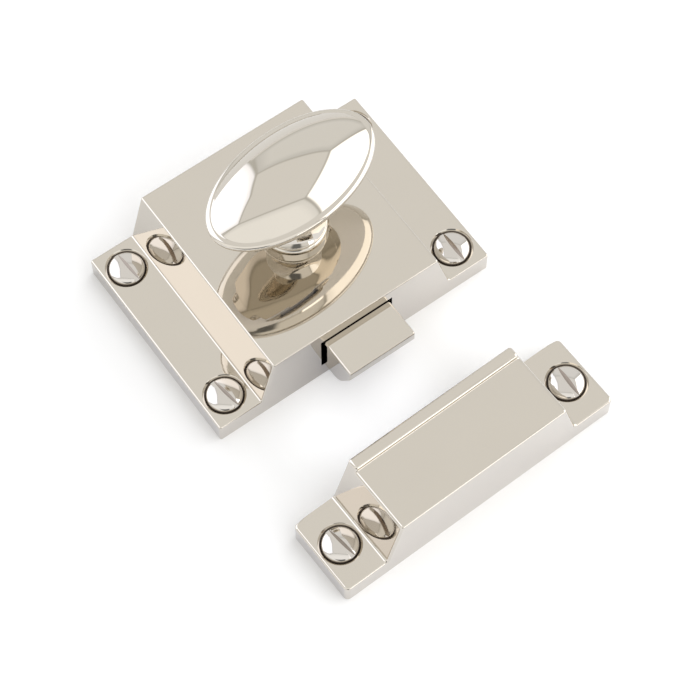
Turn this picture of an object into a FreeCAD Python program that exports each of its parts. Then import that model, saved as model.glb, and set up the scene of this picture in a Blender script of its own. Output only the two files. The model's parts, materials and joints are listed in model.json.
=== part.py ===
import FreeCAD, Part
import math
import os
import re
import Sketcher

# A cupboard catch: a sprung latch worked by an oval turn knob, and the box keep that its bolt enters.
# The origin is the middle of the latch's back, which lies on the door. X runs along the plate, the
# bolt comes out towards -Y, and Z points away from the door. All sizes are in millimetres.

SIZES = [
    # the latch's case, one casting with a screw flange at each end
    ("plate_length", 55.0, "over both flanges"),
    ("plate_width", 38.4, "across the case"),
    ("flange_thickness", 4.2, "of the latch and of its keep"),
    ("case_height", 14.2, "from the door to the flat top"),
    ("flange_length", 8.4, "from the plate's end to the foot of the slope"),
    ("slope_run", 2.7, "of an end slope, along X"),
    ("end_wall", 2.4, "from the cavity to the top of the slope"),
    ("top_wall", 2.2, "over the cavity"),
    ("front_wall", 2.2, "before and behind the cavity"),
    ("cavity_corner", 2.5, "corner radius of the cavity"),
    ("crease_radius", 0.4, "where a slope meets a flange"),
    ("edge_radius", 0.35, "left by buffing on every outer edge"),
    ("screw_inset", 4.75, "of the fixing screws from the plate's front and rear edges"),
    # the wood screws, No. 6 with a slotted raised head
    ("head_radius", 3.2, "of the head at its edge"),
    ("head_gap", 0.45, "round the head at the flange, as a countersink leaves it"),
    ("shank_gap", 0.15, "round the shank in the flange"),
    ("head_dome", 0.95, "of the head above the flange"),
    ("head_edge_depth", 0.05, "of the head's edge under the flange"),
    ("head_slot_width", 0.95, "for the driver"),
    ("head_slot_depth", 1.15, "under the top of the dome"),
    ("shank_radius", 1.75, "of the plain shank"),
    ("shank_below", 1.2, "of plain shank under the back"),
    ("thread_radius", 1.45, "of the threaded length at half its depth"),
    ("thread_length", 9.0, "down to the start of the point"),
    ("point_length", 2.4, "of the tapering point"),
    ("seat_gap", 0.05, "between a screw's cone and its countersink"),
    # the bolt and its way through the case
    ("bolt_width", 13.1, "of the bolt's head"),
    ("bolt_projection", 7.3, "out of the case at rest"),
    ("slot_bottom", 3.4, "height of the slot's floor"),
    ("slot_roof", 2.45, "of case over the slot"),
    ("bolt_side_gap", 0.6, "on each side in the slot"),
    ("bolt_floor_gap", 0.1, "under the bolt in the slot"),
    ("bolt_top_gap", 0.4, "over the bolt in the slot"),
    ("nose_lip", 2.0, "of upright nose over the bevel"),
    ("bevel_run", 3.3, "of the bevel under the nose, along Y"),
    ("heel_radius", 3.0, "where the bevel meets the underside"),
    ("foot_thickness", 3.15, "of the broad foot that slides on the back plate"),
    ("foot_gap", 0.15, "between the foot and the back plate, and the front wall"),
    ("foot_side_gap", 0.25, "between the foot and the cavity's ends"),
    ("neck_top_gap", 0.25, "between the bolt's neck and the cam over it"),
    ("neck_end_gap", 0.35, "between the end of the neck, drawn in, and the washer under the cam"),
    ("head_inside", 1.2, "that the bolt's full height reaches into the slot"),
    ("lug_thickness", 2.6, "of the lug that the cam pushes"),
    ("lug_margin", 1.2, "of lug outside the line along which the cam pushes it"),
    ("lug_top_gap", 0.7, "between the lug and the cavity's ceiling"),
    # the cam: its wings are involutes, so the bolt moves evenly as the knob turns
    ("knob_turn", 60.0, "degrees from rest to the bolt drawn in"),
    ("bolt_travel", 6.0, "over that turn"),
    ("cam_rest", 4.2, "from the axis to the flat that rests on the lug"),
    ("cam_gap", 0.1, "between that flat and the lug"),
    ("cam_thickness", 2.8, "of the cam"),
    ("cam_hub_radius", 4.75, "round the square hole"),
    ("cam_tip_radius", 0.8, "at the end of a wing"),
    ("square_gap", 0.04, "all round the square end in the cam"),
    ("cam_washer_thickness", 0.6, "of the washer under the cam"),
    ("cam_washer_radius", 3.6, "of the washer under the cam"),
    ("cam_screw_radius", 1.5, "of the machine screw's shank"),
    ("cam_screw_length", 8.0, "under its head"),
    ("cam_screw_head_radius", 2.7, "of its pan head"),
    ("cam_screw_head_height", 1.8, "of its pan head"),
    ("tapped_gap", 0.05, "round a screw in its tapped hole"),
    ("thrust_washer_thickness", 0.5, "between the cam and the case"),
    ("thrust_washer_radius", 5.6, "between the cam and the case"),
    ("end_play", 0.05, "on each side of the thrust washer"),
    # the turned bush in the top of the case
    ("bush_radius", 4.5, "of its shank in the case"),
    ("bush_fit", 0.02, "round its shank"),
    ("bush_rim_height", 1.0, "of the flange's upright rim"),
    ("bush_land", 0.2, "of the flange outside the cove"),
    ("bush_cove", 0.5, "radius of the cove over the flange"),
    ("bush_collar_height", 0.4, "of the upright collar over the cove"),
    ("bush_collar_radius", 5.3, "of the upright collar"),
    # the knob, cast with its neck and spindle in one piece
    ("knob_x", 0.9, "of the knob's axis from the middle of the plate, along X"),
    ("spindle_radius", 3.5, "in the bush"),
    ("spindle_fit", 0.05, "round the spindle"),
    ("square_size", 4.8, "across the flats of the spindle's end"),
    ("knob_seat_gap", 0.1, "between the knob's foot and the bush"),
    ("knob_foot_radius", 5.7, "over the bush"),
    ("knob_foot_edge", 0.5, "thickness of the foot's edge"),
    ("knob_waist_radius", 4.1, "at the neck's narrowest"),
    ("knob_neck_radius", 4.7, "at the neck's top"),
    ("knob_neck_height", 10.0, "of the neck's top over the case"),
    ("knob_length", 32.6, "of the oval rim"),
    ("knob_width", 18.2, "of the oval rim"),
    ("knob_rim_height", 15.6, "of the rim's middle over the case"),
    ("knob_rim_thickness", 1.3, "of the rounded rim"),
    ("knob_rim_ledge", 0.2, "between the rim's rounding and the dome"),
    ("knob_crown", 3.75, "of the dome over the rim"),
    ("knob_rest_turn", 7.0, "degrees that the oval stands off the plate's length at rest"),
    # the spring behind the bolt
    ("spring_radius", 2.4, "to the middle of the wire"),
    ("spring_wire_radius", 0.3, "of the wire"),
    ("spring_turns", 5.5, "from wall to lug"),
    ("spring_height", 6.5, "of its axis over the back"),
    ("peg_radius", 1.6, "of the pegs that hold the spring's ends"),
    ("bolt_peg_length", 1.8, "on the bolt"),
    ("case_peg_length", 1.4, "on the case"),
    # the plate that closes the back, with four small screws
    ("back_plate_thickness", 1.2, "of the plate"),
    ("back_plate_overlap", 4.6, "past the cavity at each end"),
    ("back_plate_lip", 1.3, "of case outside the plate, front and rear"),
    ("back_plate_gap", 0.1, "round the plate in its recess"),
    ("back_screw_inset", 8.2, "of its screws from the case's front and rear"),
    ("back_screw_radius", 1.0, "of the shank"),
    ("back_screw_head_radius", 1.75, "of the flat head"),
    ("back_screw_length", 6.0, "overall"),
    ("back_screw_slot_width", 0.5, "for the driver"),
    ("back_screw_slot_depth", 0.45, "for the driver"),
    # the keep, a box open to the latch and at its back
    ("keep_width", 14.2, "across the keep"),
    ("keep_flange_length", 8.2, "from its end to the foot of the slope"),
    ("keep_end_wall", 2.6, "from the pocket to the top of the slope"),
    ("keep_wall", 2.2, "of its top and its closed side"),
    ("keep_pocket_corner", 2.0, "corner radius of the pocket"),
    ("lip_width", 2.1, "of the raised lip that meets the bolt's bevel"),
    ("lip_height", 0.8, "over the keep's top"),
    ("lip_inset", 0.55, "from the end of the keep's top to the lip"),
    ("lip_corner", 1.2, "radius of the lip's ends in plan"),
    ("lip_root_radius", 0.25, "where the lip meets the keep's top"),
    ("keep_x", 0.1, "of the keep's middle"),
    ("keep_y", -46.2, "of the keep's middle"),
    ("keep_angle", 1.6, "degrees that the keep is turned"),
]
NAMES = [name for name, value, note in SIZES]

# Heights and faces that several pieces share, as expressions over the sizes
CEILING = "(case_height - top_wall)"
FRONT = "(plate_width / 2)"
INNER_FRONT = "(plate_width / 2 - front_wall)"
CASE_FOOT = "(plate_length / 2 - flange_length)"
CASE_TOP = "(plate_length / 2 - flange_length - slope_run)"
CAVITY_END = "(plate_length / 2 - flange_length - slope_run - end_wall)"
KEEP_FOOT = "(plate_length / 2 - keep_flange_length)"
KEEP_TOP = "(plate_length / 2 - keep_flange_length - slope_run)"
POCKET_END = "(plate_length / 2 - keep_flange_length - slope_run - keep_end_wall)"
SLOT_TOP = "(case_height - slot_roof)"
BOLT_BOTTOM = "(slot_bottom + bolt_floor_gap)"
BOLT_TOP = "(case_height - slot_roof - bolt_top_gap)"
FOOT_BOTTOM = "(back_plate_thickness + foot_gap)"
FOOT_TOP = "(back_plate_thickness + foot_gap + foot_thickness)"
CAM_TOP = "(case_height - top_wall - thrust_washer_thickness - 2 * end_play)"
CAM_BOTTOM = "(case_height - top_wall - thrust_washer_thickness - 2 * end_play - cam_thickness)"
LUG_FRONT = "(cam_rest + cam_gap)"
LUG_REAR = "(cam_rest + cam_gap + lug_thickness)"
CAM_ARM = "(bolt_travel / (knob_turn * pi / 180))"
BUSH_TOP = "(case_height + bush_rim_height + bush_cove + bush_collar_height)"
KNOB_FOOT = f"({BUSH_TOP} + knob_seat_gap)"
RIM_BOTTOM = "(case_height + knob_rim_height - knob_rim_thickness / 2)"
RIM_TOP = "(case_height + knob_rim_height + knob_rim_thickness / 2)"
RIM_ROUNDING = "(0.45 * knob_rim_thickness)"
HEAD_LONG = f"(knob_length / 2 - {RIM_ROUNDING} - knob_rim_ledge)"
HEAD_WIDE = f"(knob_width / 2 - {RIM_ROUNDING} - knob_rim_ledge)"

doc = FreeCAD.newDocument("CupboardCatch")
sheet = doc.addObject("Spreadsheet::Sheet", "Sizes")
for row, (name, value, note) in enumerate(SIZES, start=1):
    sheet.set(f"A{row}", name)
    sheet.set(f"B{row}", str(value))
    sheet.set(f"C{row}", note)
    sheet.setAlias(f"B{row}", name)
doc.recompute()


def bound(text):
    """The expression with each size's name pointed at the sheet."""
    return re.sub(r"[a-z]+(_[a-z]+)+", lambda word: "Sizes." + word.group() if word.group() in NAMES
                  else word.group(), text)


def size(text):
    """The present value of a size, or of an expression over the sizes."""
    return float(sheet.evalExpression(text))


def drive(thing, **expressions):
    """Binds properties of an object to expressions over the sizes."""
    for name, text in expressions.items():
        thing.setExpression(name.replace("__", "."), bound(text))


def new_body(label):
    body = doc.addObject("PartDesign::Body", label)
    body.Label = label
    return body


def new_sketch(body, name, role, offset="0"):
    """A sketch on one of the body's own planes, moved along that plane's normal."""
    sketch = body.newObject("Sketcher::SketchObject", name)
    plane = next(item for item in body.Origin.OriginFeatures if item.Role == role)
    sketch.AttachmentSupport = (plane, [""])
    sketch.MapMode = "FlatFace"
    sketch.setExpression(".AttachmentOffset.Base.z", bound(offset))
    return sketch


def polygon(sketch, corners):
    """A closed outline whose corners are held by expressions."""
    points = [FreeCAD.Vector(size(x), size(y), 0) for x, y in corners]
    first = sketch.GeometryCount
    for here, there in zip(points, points[1:] + points[:1]):
        sketch.addGeometry(Part.LineSegment(here, there), False)
    for index, (x, y) in enumerate(corners):
        line = first + index
        after = first + (index + 1) % len(corners)
        sketch.addConstraint(Sketcher.Constraint("Coincident", line, 2, after, 1))
        place(sketch, line, 1, x, y)


def hold(sketch, kind, line, end, text):
    """Holds one coordinate of a point of a sketch at an expression."""
    index = sketch.addConstraint(Sketcher.Constraint(kind, -1, 1, line, end, size(text)))
    sketch.setExpression(f"Constraints[{index}]", bound(text))


def place(sketch, line, end, x, y):
    """Holds a point of a sketch at expressions for both its coordinates."""
    hold(sketch, "DistanceX", line, end, x)
    hold(sketch, "DistanceY", line, end, y)


def rectangle(sketch, half_x, low_y, high_y):
    """A rectangle that is even about the sketch's upright axis."""
    polygon(sketch, [(f"-({half_x})", low_y), (half_x, low_y), (half_x, high_y), (f"-({half_x})", high_y)])


def circle(sketch, x, y, radius):
    index = sketch.addGeometry(Part.Circle(FreeCAD.Vector(size(x), size(y), 0), FreeCAD.Vector(0, 0, 1),
                                           size(radius)), False)
    place(sketch, index, 3, x, y)
    held = sketch.addConstraint(Sketcher.Constraint("Radius", index, size(radius)))
    sketch.setExpression(f"Constraints[{held}]", bound(radius))


def ellipse(sketch, half_x, half_y):
    """An oval about the sketch's origin, its long way along X."""
    long_end = FreeCAD.Vector(size(half_x), 0, 0)
    short_end = FreeCAD.Vector(0, size(half_y), 0)
    index = sketch.addGeometry(Part.Ellipse(long_end, short_end, FreeCAD.Vector(0, 0, 0)), False)
    sketch.exposeInternalGeometry(index)
    place(sketch, index, 3, "0", "0")
    place(sketch, index + 1, 1, half_x, "0")
    hold(sketch, "DistanceY", index + 2, 1, half_y)


def pad(body, sketch, length, midplane=False, back=False):
    feature = body.newObject("PartDesign::Pad", sketch.Name + "_pad")
    feature.Profile = sketch
    feature.Midplane = midplane
    feature.Reversed = back
    drive(feature, Length=length)
    doc.recompute()
    return feature


def pocket(body, sketch, length, back=False):
    """A cut, which has to take something away."""
    before = body.Shape.Volume
    feature = body.newObject("PartDesign::Pocket", sketch.Name + "_cut")
    feature.Profile = sketch
    feature.Reversed = back
    drive(feature, Length=length)
    doc.recompute()
    if body.Shape.Volume > before - 1e-6:
        raise RuntimeError(f"{feature.Name} cuts nothing")
    return feature


def turned(body, sketch):
    """A revolution of a half profile about the sketch's upright axis."""
    feature = body.newObject("PartDesign::Revolution", sketch.Name + "_turned")
    feature.Profile = sketch
    feature.ReferenceAxis = (sketch, ["V_Axis"])
    feature.Angle = 360
    doc.recompute()
    return feature


def edges(body, test):
    """The names of the edges of the body's last feature that pass a test."""
    return [f"Edge{number}" for number, edge in enumerate(body.Tip.Shape.Edges, start=1) if test(edge)]


def dress(body, kind, names, amount):
    """A fillet or a chamfer on the named edges of the body's last feature."""
    feature = body.newObject("PartDesign::" + kind, f"{body.Label}_{kind.lower()}")
    feature.Base = (feature.BaseFeature or body.Tip, names)
    drive(feature, **{"Radius" if kind == "Fillet" else "Size": amount})
    doc.recompute()
    return feature


def curve(edge, kind):
    """The edge's curve where it is of one kind, such as Line or Circle, and otherwise nothing."""
    try:
        found = edge.Curve
    except TypeError:
        return None
    return found if found.TypeId == "Part::Geom" + kind else None


def along(edge, axis):
    """True for a straight edge that runs along X, Y or Z."""
    line = curve(edge, "Line")
    return line is not None and abs(abs(getattr(line.Direction, axis)) - 1) < 1e-6


def ring(edge, radius, level):
    """True for a circle of one radius, with its centre at one height."""
    found = curve(edge, "Circle")
    return found is not None and abs(found.Radius - radius) < 1e-4 and abs(found.Center.z - level) < 1e-4


def middle(edge):
    return edge.BoundBox.Center


def humped_plate(label, half_width, half_top, half_foot):
    """The form that the case and the keep share: two flanges and a raised box with sloping ends."""
    body = new_body(label)
    profile = new_sketch(body, label + "_profile", "XZ_Plane")
    half_plate = "plate_length / 2"
    right = [(half_plate, "0"), (half_plate, "flange_thickness"), (half_foot, "flange_thickness"),
             (half_top, "case_height")]
    left = [(f"-({x})", y) for x, y in reversed(right)]
    polygon(profile, right + left)
    pad(body, profile, f"2 * ({half_width})", midplane=True)
    foot = size(half_foot)
    flange_top = size("flange_thickness")
    creases = edges(body, lambda edge: along(edge, "y") and abs(middle(edge).z - flange_top) < 1e-3
                    and abs(abs(middle(edge).x) - foot) < 1e-3)
    dress(body, "Fillet", creases, "crease_radius")
    return body


def soften(body):
    """Rounds every outer edge but those on the back."""
    creases = ("Part::GeomCylinder",)

    def sharp(edge):
        if edge.BoundBox.ZMin < 1e-3 and edge.BoundBox.ZMax < 1e-3:
            return False
        sides = body.Tip.Shape.ancestorsOfType(edge, Part.Face)
        across = along(edge, "y")
        return not (across and any(side.Surface.TypeId in creases for side in sides))

    return dress(body, "Fillet", edges(body, sharp), "edge_radius")


def sunk_holes(body, name, places, height, radius, sink):
    """Through holes, countersunk at a right angle from one height."""
    sketch = new_sketch(body, name, "XY_Plane", height)
    for x, y in places:
        circle(sketch, x, y, radius)
    doc.recompute()
    before = body.Shape.Volume
    hole = body.newObject("PartDesign::Hole", name + "_sunk")
    hole.Profile = sketch
    doc.recompute()
    hole.Threaded = False
    hole.DepthType = "ThroughAll"
    hole.Reversed = height == "0"
    hole.HoleCutType = "Countersink"
    hole.HoleCutCountersinkAngle = 90
    drive(hole, Diameter=f"2 * ({radius})", HoleCutDiameter=f"2 * ({sink})")
    doc.recompute()
    if body.Shape.Volume > before - 1e-6:
        raise RuntimeError(f"{name} cuts nothing")


def round_rectangle(body, name, half_x, half_y, height, corner, offset="0"):
    """A block with rounded upright corners, as the first feature of a body."""
    sketch = new_sketch(body, name, "XY_Plane", offset)
    rectangle(sketch, half_x, f"-({half_y})", half_y)
    pad(body, sketch, height)
    return dress(body, "Fillet", edges(body, lambda edge: along(edge, "z")), corner)


CASE_SCREWS = [(f"{i} * (plate_length / 2 - flange_length / 2)", f"{j} * (plate_width / 2 - screw_inset)")
               for i in (-1, 1) for j in (-1, 1)]
BACK_SCREWS = [(f"{i} * ({CAVITY_END} + back_plate_overlap / 2)",
                f"{j} * (plate_width / 2 - back_screw_inset)")
               for i in (-1, 1) for j in (-1, 1)]
KEEP_SCREWS = [(f"{i} * (plate_length / 2 - keep_flange_length / 2)", "0") for i in (-1, 1)]


def latch_case():
    """A brass casting, hollow at the back for the bolt and the cam, with a slot in front for the bolt."""
    body = humped_plate("latch_case", FRONT, CASE_TOP, CASE_FOOT)
    soften(body)

    cavity = new_sketch(body, "cavity", "XY_Plane")
    rectangle(cavity, CAVITY_END, f"-{INNER_FRONT}", INNER_FRONT)
    pocket(body, cavity, CEILING, back=True)
    inner_x = size(CAVITY_END)
    inner_y = size(INNER_FRONT)
    corners = edges(body, lambda edge: along(edge, "z") and abs(abs(middle(edge).x) - inner_x) < 1e-3
                    and abs(abs(middle(edge).y) - inner_y) < 1e-3)
    dress(body, "Fillet", corners, "cavity_corner")

    recess = new_sketch(body, "recess", "XY_Plane")
    half_length = f"{CAVITY_END} + back_plate_overlap"
    half_width = "plate_width / 2 - back_plate_lip"
    rectangle(recess, half_length, f"-({half_width})", half_width)
    pocket(body, recess, "back_plate_thickness", back=True)
    corners = edges(body, lambda edge: along(edge, "z") and middle(edge).z < size("back_plate_thickness")
                    and abs(abs(middle(edge).x) - size(half_length)) < 1e-3)
    dress(body, "Fillet", corners, "cavity_corner")

    slot = new_sketch(body, "bolt_slot", "XZ_Plane", f"{INNER_FRONT} - 0.5 * front_wall")
    rectangle(slot, "bolt_width / 2 + bolt_side_gap", "slot_bottom", SLOT_TOP)
    pocket(body, slot, "2 * front_wall", back=True)

    hole = new_sketch(body, "bush_hole", "XY_Plane", "case_height")
    circle(hole, "knob_x", "0", "bush_radius + bush_fit")
    pocket(body, hole, "2 * top_wall")

    taps = new_sketch(body, "back_taps", "XY_Plane")
    for x, y in BACK_SCREWS:
        circle(taps, x, y, "back_screw_radius + tapped_gap")
    pocket(body, taps, "back_screw_length + back_plate_thickness / 2", back=True)

    peg = new_sketch(body, "case_peg", "XZ_Plane", f"-{INNER_FRONT}")
    circle(peg, "0", "spring_height", "peg_radius")
    pad(body, peg, "case_peg_length")

    sunk_holes(body, "case_screw_holes", CASE_SCREWS, "flange_thickness", "shank_radius + shank_gap",
               "head_radius + head_gap")
    return body


def keep():
    """The matching casting on the frame: a pocket for the bolt, and a lip that its bevel rides over."""
    body = humped_plate("keep", "keep_width / 2", KEEP_TOP, KEEP_FOOT)

    lip = new_sketch(body, "lip", "XY_Plane", "case_height")
    lip_end = f"{KEEP_TOP} - lip_inset"
    rectangle(lip, lip_end, "keep_width / 2 - lip_width", "keep_width / 2")
    pad(body, lip, "lip_height")
    top = size("case_height")
    near = size("keep_width / 2 - lip_width")
    ends = edges(body, lambda edge: along(edge, "z") and middle(edge).z > top
                 and abs(middle(edge).y - near) < 1e-3)
    dress(body, "Fillet", ends, "lip_corner")
    root = edges(body, lambda edge: abs(middle(edge).z - top) < 1e-3 and edge.BoundBox.ZLength < 1e-4
                 and middle(edge).y > near - 1e-3 and abs(middle(edge).x) < size(lip_end) + 1e-3
                 and middle(edge).y < size("keep_width / 2") - 1e-3)
    dress(body, "Fillet", root, "lip_root_radius")
    crest = size("case_height + lip_height")
    dress(body, "Fillet", edges(body, lambda edge: edge.BoundBox.ZMin > crest - 1e-3), "edge_radius")
    soften_keep(body)

    hollow = new_sketch(body, "keep_pocket", "XY_Plane")
    rectangle(hollow, POCKET_END, "keep_wall - keep_width / 2", "keep_width / 2 + edge_radius")
    pocket(body, hollow, "case_height - keep_wall", back=True)
    inner = size("keep_wall - keep_width / 2")
    corners = edges(body, lambda edge: along(edge, "z") and abs(middle(edge).y - inner) < 1e-3)
    dress(body, "Fillet", corners, "keep_pocket_corner")

    sunk_holes(body, "keep_screw_holes", KEEP_SCREWS, "flange_thickness", "shank_radius + shank_gap",
               "head_radius + head_gap")
    stand_keep(body)
    return body


def soften_keep(body):
    """Rounds the keep's outer edges, but for its back and the side that meets the latch."""
    far = size("keep_width / 2")
    level = size("case_height")

    def sharp(edge):
        box = edge.BoundBox
        if box.ZMax < 1e-3 or box.YMin > far - 1e-3 or box.ZMax > level + 1e-3:
            return False
        slope_top = along(edge, "y") and abs(middle(edge).z - level) < 1e-3
        flange_end = along(edge, "y") and abs(abs(middle(edge).x) - size("plate_length / 2")) < 1e-3
        near_side = box.YMax < -far + 1e-3
        return (slope_top and box.YLength > far) or flange_end or near_side

    return dress(body, "Fillet", edges(body, sharp), "edge_radius")


def stand_keep(thing):
    """Places a piece of the keep where the photograph shows it, a little askew to the latch."""
    drive(thing, Placement__Base__x="keep_x", Placement__Base__y="keep_y")
    drive(thing, Placement__Rotation__Angle="keep_angle")


def bolt():
    """A brass casting: a bevelled head, a neck under the cam, a broad foot and the lug at the rear."""
    body = new_body("bolt")
    side = new_sketch(body, "bolt_side", "YZ_Plane")
    nose = "-(plate_width / 2 + bolt_projection)"
    behind_wall = f"-({INNER_FRONT} - foot_gap)"
    head_end = f"-({FRONT} - head_inside)"
    neck_end = "-(cam_washer_radius + bolt_travel + neck_end_gap)"
    polygon(side, [
        (nose, BOLT_TOP), (nose, f"{BOLT_TOP} - nose_lip"), (f"{nose} + bevel_run", BOLT_BOTTOM),
        (behind_wall, BOLT_BOTTOM), (behind_wall, FOOT_BOTTOM), (neck_end, FOOT_BOTTOM),
        (neck_end, f"{CAM_BOTTOM} - neck_top_gap"),
        (head_end, f"{CAM_BOTTOM} - neck_top_gap"), (head_end, BOLT_TOP)])
    pad(body, side, "bolt_width", midplane=True)

    heel = edges(body, lambda edge: along(edge, "x") and abs(middle(edge).z - size(BOLT_BOTTOM)) < 1e-3
                 and middle(edge).y < -size(FRONT))
    dress(body, "Fillet", heel, "heel_radius")
    tip = -size(FRONT) - size("bolt_projection")
    shown = edges(body, lambda edge: (abs(middle(edge).x) > size("bolt_width / 2") - 1e-3 and along(edge, "y")
                                      and abs(middle(edge).z - size(BOLT_TOP)) < 1e-3)
                  or (abs(middle(edge).y - tip) < 1e-3))
    dress(body, "Fillet", shown, "edge_radius")

    foot = new_sketch(body, "bolt_foot", "XY_Plane", FOOT_BOTTOM)
    half_foot = f"{CAVITY_END} - foot_side_gap"
    rectangle(foot, half_foot, behind_wall, LUG_REAR)
    pad(body, foot, "foot_thickness")
    half = size(half_foot)
    corners = edges(body, lambda edge: along(edge, "z") and abs(abs(middle(edge).x) - half) < 1e-3)
    dress(body, "Fillet", corners, "cavity_corner + foot_side_gap")

    lug = new_sketch(body, "bolt_lug", "XY_Plane", FOOT_BOTTOM)
    rectangle(lug, f"knob_x + {CAM_ARM} + lug_margin", LUG_FRONT, LUG_REAR)
    pad(body, lug, f"{CEILING} - lug_top_gap - {FOOT_BOTTOM}")

    peg = new_sketch(body, "bolt_peg", "XZ_Plane", f"-{LUG_REAR}")
    circle(peg, "0", "spring_height", "peg_radius")
    pad(body, peg, "bolt_peg_length", back=True)
    return body


def back_plate():
    """A flat plate let into the back of the case, which keeps the bolt in and is its slide."""
    body = new_body("back_plate")
    half_length = f"{CAVITY_END} + back_plate_overlap - back_plate_gap"
    half_width = "plate_width / 2 - back_plate_lip - back_plate_gap"
    round_rectangle(body, "back_plate_outline", half_length, half_width, "back_plate_thickness", "cavity_corner")
    sunk_holes(body, "back_plate_holes", BACK_SCREWS, "0", "back_screw_radius + tapped_gap",
               "back_screw_head_radius + tapped_gap")
    return body


def stand_on_axis(thing):
    """Moves a piece that is drawn about the origin to the knob's axis."""
    drive(thing, Placement__Base__x="knob_x")


def spindle_bush():
    """A turned bush with a stepped flange, pressed into the top of the case as the spindle's bearing."""
    body = new_body("spindle_bush")
    half = new_sketch(body, "bush_half", "XZ_Plane")
    bore = "spindle_radius + spindle_fit"
    flange = "case_height + bush_rim_height"
    flange_radius = "bush_collar_radius + bush_cove + bush_land"
    polygon(half, [(bore, CEILING), ("bush_radius", CEILING), ("bush_radius", "case_height"),
                   (flange_radius, "case_height"), (flange_radius, flange),
                   ("bush_collar_radius", flange), ("bush_collar_radius", BUSH_TOP), (bore, BUSH_TOP)])
    turned(body, half)
    step = edges(body, lambda edge: ring(edge, size("bush_collar_radius"), size(flange)))
    dress(body, "Fillet", step, "bush_cove")
    stand_on_axis(body)
    return body


def knob():
    """A lemon shaped knob: a domed oval head with a rounded rim, a waisted neck, and a squared spindle."""
    body = new_body("knob")
    rim = new_sketch(body, "knob_rim", "XY_Plane", RIM_BOTTOM)
    ellipse(rim, "knob_length / 2", "knob_width / 2")
    pad(body, rim, "knob_rim_thickness")
    dress(body, "Fillet", edges(body, lambda edge: edge.BoundBox.ZLength < 1e-4), RIM_ROUNDING)

    knob_underside(body)
    knob_neck(body)
    knob_dome(body)
    knob_square(body)
    stand_on_axis(body)
    drive(body, Placement__Rotation__Angle="knob_rest_turn")
    return body


def knob_underside(body):
    """The underside draws in from the oval rim to the round top of the neck, in one loft."""
    fall = f"({RIM_BOTTOM} - case_height - knob_neck_height)"
    neck = "knob_neck_radius"
    stages = [(0.0, 1.0), (0.16, 0.86), (0.42, 0.52), (0.72, 0.16), (1.0, 0.0)]
    sections = []
    for number, (down, share) in enumerate(stages):
        section = new_sketch(body, f"underside_{number}", "XY_Plane", f"{RIM_BOTTOM} - {down} * {fall}")
        if share:
            ellipse(section, f"{neck} + {share} * ({HEAD_LONG} - {neck})",
                    f"{neck} + {share} * ({HEAD_WIDE} - {neck})")
        else:
            circle(section, "0", "0", neck)
        sections.append(section)
    loft = body.newObject("PartDesign::AdditiveLoft", "knob_underside")
    loft.Profile = sections[0]
    loft.Sections = sections[1:]
    doc.recompute()


def knob_neck(body):
    """The neck, the foot that turns on the bush, and the round spindle, turned in one."""
    half = new_sketch(body, "knob_neck", "XZ_Plane")
    neck_top = "case_height + knob_neck_height"
    foot_top = f"{KNOB_FOOT} + knob_foot_edge"
    corners = [("0", CAM_TOP), ("spindle_radius", CAM_TOP), ("spindle_radius", KNOB_FOOT),
               ("knob_foot_radius", KNOB_FOOT), ("knob_foot_radius", foot_top),
               ("knob_neck_radius", neck_top), ("0", neck_top)]
    polygon(half, corners)
    bow(half, corners, 4, "(knob_foot_radius + knob_neck_radius) / 2 - knob_waist_radius")
    turned(body, half)


def bow(sketch, corners, line, sag):
    """Bows one side of an outline inwards, or outwards for a negative sag, as an arc through its two ends."""
    start = sketch.getPoint(line, 1)
    end = sketch.getPoint(line, 2)
    chord = end - start
    beside = FreeCAD.Vector(-chord.y, chord.x, 0).normalize()
    arc = sketch.addGeometry(Part.Arc(start, (start + end) * 0.5 + beside * size(sag), end), False)
    sketch.toggleConstruction(line)
    forward = (sketch.getPoint(arc, 1) - start).Length < (sketch.getPoint(arc, 1) - end).Length
    sketch.addConstraint(Sketcher.Constraint("Coincident", arc, 1 if forward else 2, line, 1))
    sketch.addConstraint(Sketcher.Constraint("Coincident", arc, 2 if forward else 1, line, 2))
    (x0, y0), (x1, y1) = corners[line], corners[(line + 1) % len(corners)]
    square = f"((({x1}) - ({x0})) ^ 2 + (({y1}) - ({y0})) ^ 2)"
    radius = f"abs(({square} / 4 + ({sag}) ^ 2) / (2 * ({sag})))"
    held = sketch.addConstraint(Sketcher.Constraint("Radius", arc, size(radius)))
    sketch.setExpression(f"Constraints[{held}]", bound(radius))


def knob_dome(body):
    """The dome is the crown of a spheroid that lies along the oval, cut off at the rim."""
    crown = "knob_crown"
    radius = f"(({HEAD_WIDE} * {HEAD_WIDE} + {crown} * {crown}) / (2 * {crown}))"
    spheroid = body.newObject("PartDesign::AdditiveEllipsoid", "knob_dome")
    drive(spheroid, Radius1=radius, Radius3=radius, Radius2=f"{HEAD_LONG} / {HEAD_WIDE} * {radius}")
    spheroid.Angle1 = math.degrees(math.asin(1 - size(crown) / size(radius)))
    spheroid.setExpression("Angle1", bound(f"asin(1 - {crown} / {radius})"))
    spheroid.setExpression(".AttachmentOffset.Base.z", bound(f"{RIM_TOP} + {crown} - {radius}"))
    spheroid.MapMode = "FlatFace"
    plane = next(item for item in body.Origin.OriginFeatures if item.Role == "XY_Plane")
    spheroid.AttachmentSupport = (plane, [""])
    doc.recompute()


def knob_square(body):
    """The square end that turns the cam, with a tapped hole up it."""
    square = new_sketch(body, "knob_square", "XY_Plane", CAM_TOP)
    rectangle(square, "square_size / 2", "-square_size / 2", "square_size / 2")
    pad(body, square, "cam_thickness - end_play", back=True)
    tap = new_sketch(body, "knob_tap", "XY_Plane", CAM_BOTTOM)
    circle(tap, "0", "0", "cam_screw_radius + tapped_gap")
    pocket(body, tap, "cam_screw_length + end_play", back=True)


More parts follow.
